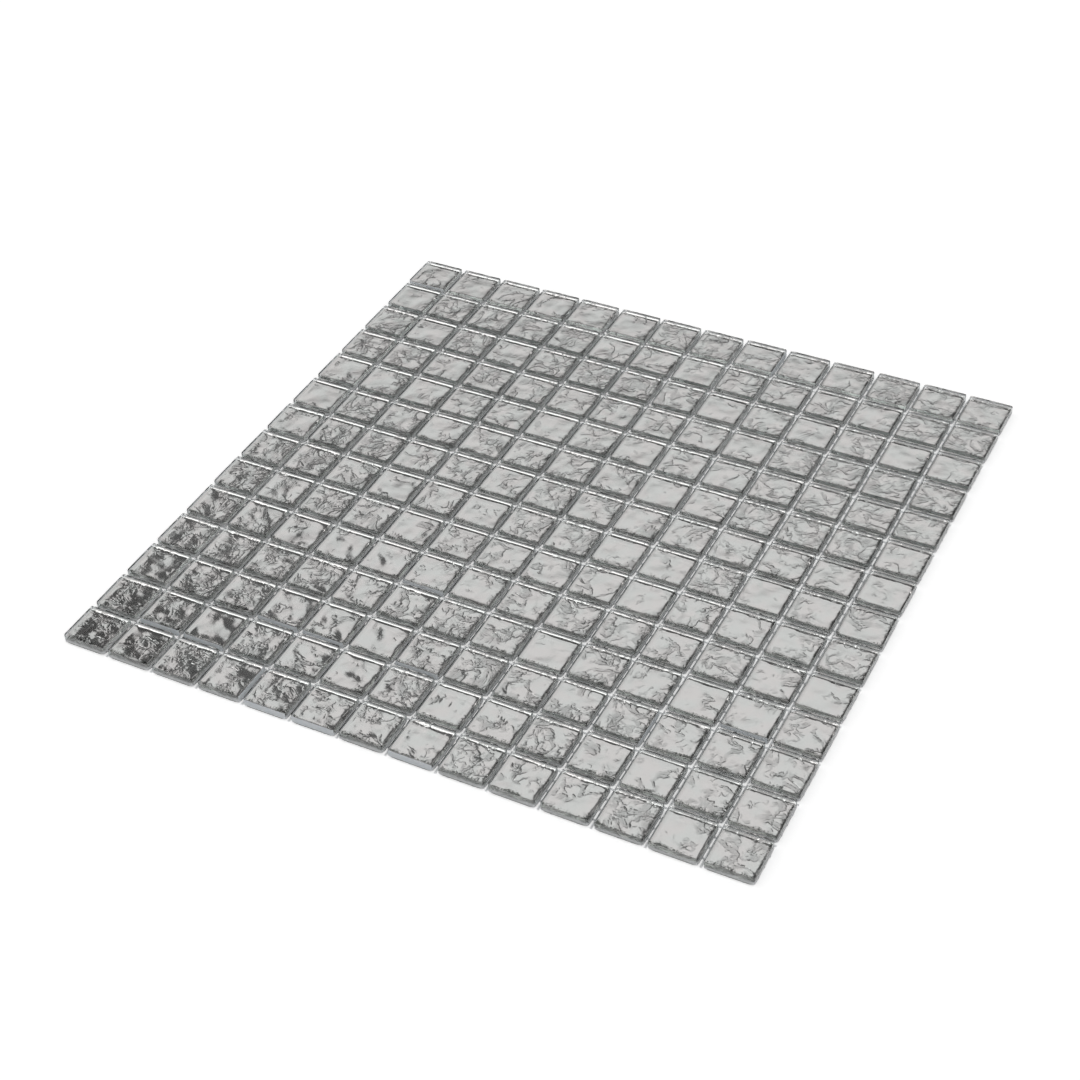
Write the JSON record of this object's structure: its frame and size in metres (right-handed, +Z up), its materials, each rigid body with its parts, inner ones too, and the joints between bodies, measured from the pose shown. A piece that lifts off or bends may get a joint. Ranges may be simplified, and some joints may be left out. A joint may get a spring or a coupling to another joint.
{
  "type": "mosaic tile sheet",
  "caption": "Square sheet of small square clear glass mosaic tiles with silvered rippled backs, glued to a net of flat strands.",
  "frame": {"origin": "middle of the sheet's underside, on the underside of the net", "axes": "+X to the right along the rows, +Y to the back row (row 01), +Z up through the tiles' polished faces"},
  "size_m": [0.2994, 0.2994, 0.0043],
  "materials": {
    "clear_glass": "polished clear glass, slightly grey-green at the edges",
    "silver_coat": "silvered rippled coat seen through the glass",
    "net_strand": "white coated glass-fibre strand"
  },
  "bodies": {
    "root": {"glass_tiles_row_01": "clear_glass", "glass_tiles_row_02": "clear_glass", "glass_tiles_row_03": "clear_glass", "glass_tiles_row_04": "clear_glass", "glass_tiles_row_05": "clear_glass", "glass_tiles_row_06": "clear_glass", "glass_tiles_row_07": "clear_glass", "glass_tiles_row_08": "clear_glass", "glass_tiles_row_09": "clear_glass", "glass_tiles_row_10": "clear_glass", "glass_tiles_row_11": "clear_glass", "glass_tiles_row_12": "clear_glass", "glass_tiles_row_13": "clear_glass", "glass_tiles_row_14": "clear_glass", "silver_backs_row_01": "silver_coat", "silver_backs_row_02": "silver_coat", "silver_backs_row_03": "silver_coat", "silver_backs_row_04": "silver_coat", "silver_backs_row_05": "silver_coat", "silver_backs_row_06": "silver_coat", "silver_backs_row_07": "silver_coat", "silver_backs_row_08": "silver_coat", "silver_backs_row_09": "silver_coat", "silver_backs_row_10": "silver_coat", "silver_backs_row_11": "silver_coat", "silver_backs_row_12": "silver_coat", "silver_backs_row_13": "silver_coat", "silver_backs_row_14": "silver_coat", "net_warp_strands": "net_strand", "net_weft_strands": "net_strand"}
  },
  "joints": []
}
